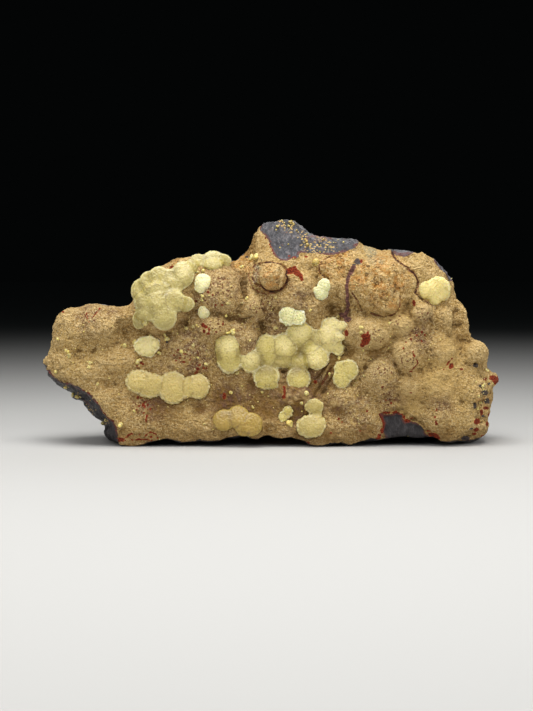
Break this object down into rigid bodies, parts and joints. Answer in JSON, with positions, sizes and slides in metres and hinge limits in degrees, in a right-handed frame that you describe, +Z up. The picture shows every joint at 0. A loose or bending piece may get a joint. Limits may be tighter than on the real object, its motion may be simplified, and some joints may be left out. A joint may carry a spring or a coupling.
{
  "type": "austinite specimen",
  "caption": "Loose mineral specimen: pale yellow-green austinite rosettes and button groups on a lumpy brown limonite matrix.",
  "frame": {"origin": "on the surface it rests on, under the middle of the specimen's bounding box", "axes": "+Z up as it rests, +X along its length to the right as seen from the front, -Y out of the face that carries the austinite"},
  "size_m": [0.0749, 0.0298, 0.0367],
  "materials": {
    "limonite_matrix": "dull fine-grained botryoidal crust, dark broken faces",
    "austinite": "translucent, finely crystalline, waxy to glassy"
  },
  "bodies": {
    "root": {"matrix": "limonite_matrix", "crest_group": "austinite", "crest_pearl": "austinite", "shoulder_pearl": "austinite", "left_rosette": "austinite", "left_row": "austinite", "centre_group": "austinite", "pale_pair": "austinite", "upper_pair": "austinite", "right_pair": "austinite", "right_disc": "austinite", "foot_group": "austinite", "foot_pip": "austinite", "foot_pair": "austinite"}
  },
  "joints": []
}
